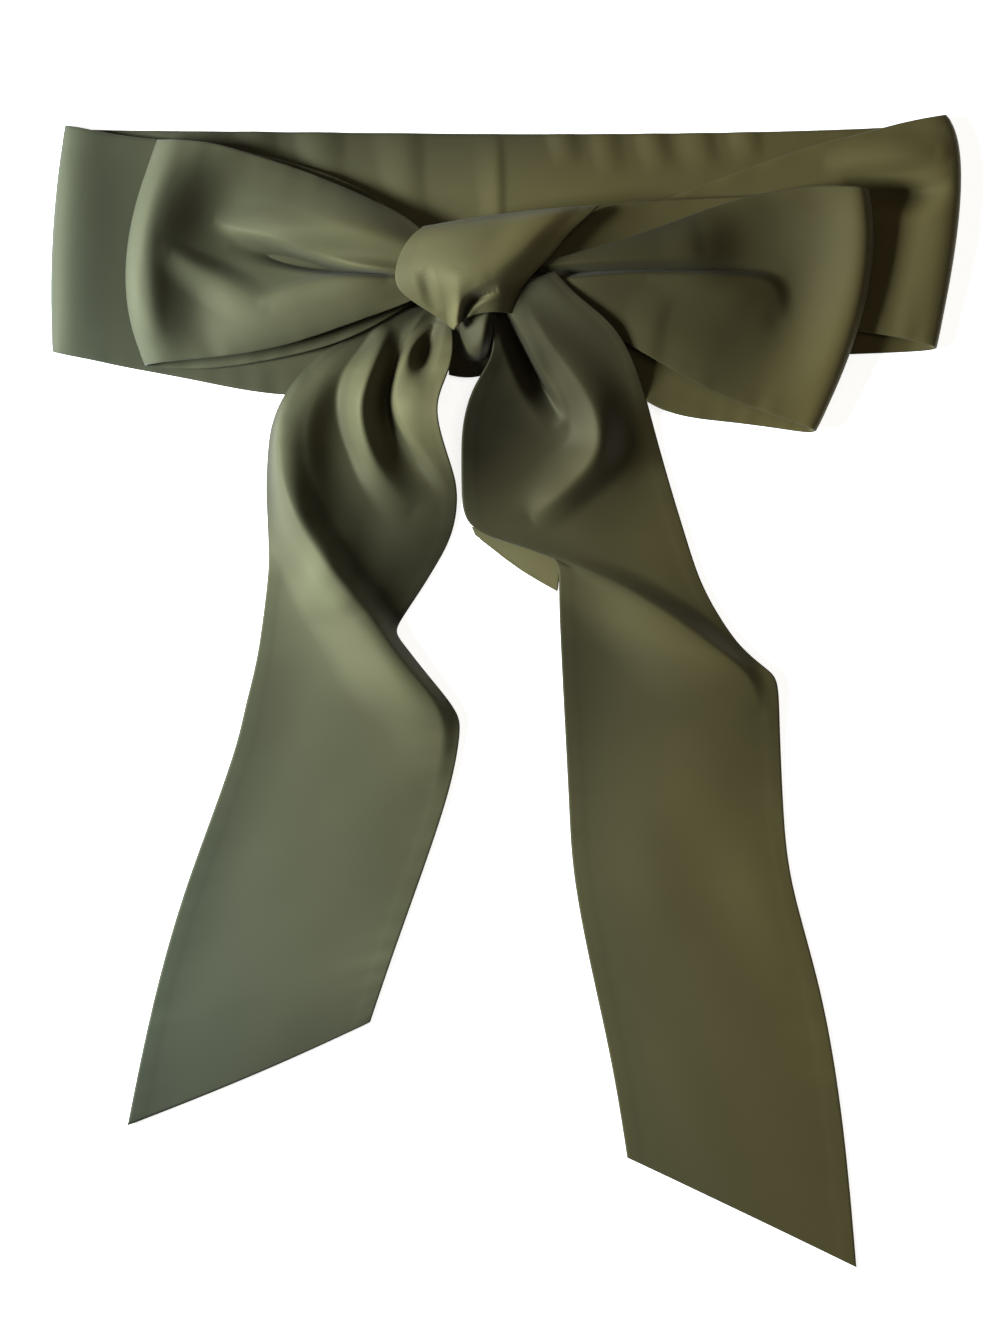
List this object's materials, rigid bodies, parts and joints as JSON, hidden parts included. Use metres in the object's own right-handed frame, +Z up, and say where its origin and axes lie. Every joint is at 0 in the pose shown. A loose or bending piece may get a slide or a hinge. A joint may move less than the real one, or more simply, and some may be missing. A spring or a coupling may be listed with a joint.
{
  "type": "bridal sash",
  "caption": "Long satin ribbon sash tied in a bow with loops, knot and slanted tails, its waist loop pressed flat, lying on a table.",
  "frame": {"origin": "centre of the sash's bounding box in plan, on the table that it lies on", "axes": "+X to the right and +Y to the top of the bow as seen from above, +Z up from the table"},
  "size_m": [0.4093, 0.5171, 0.0358],
  "materials": {
    "satin_olive": "satin weave, soft sheen",
    "satin_olive_light": "satin weave, soft sheen",
    "satin_olive_dark": "satin weave, soft sheen"
  },
  "bodies": {
    "root": {"waist_back": "satin_olive_dark", "waist_left": "satin_olive", "waist_right": "satin_olive", "loop_left": "satin_olive_light", "loop_right": "satin_olive", "tail_left": "satin_olive_light", "tail_right": "satin_olive", "knot_wrap": "satin_olive_light", "knot_stub": "satin_olive_dark", "knot_core": "satin_olive_dark"}
  },
  "joints": []
}
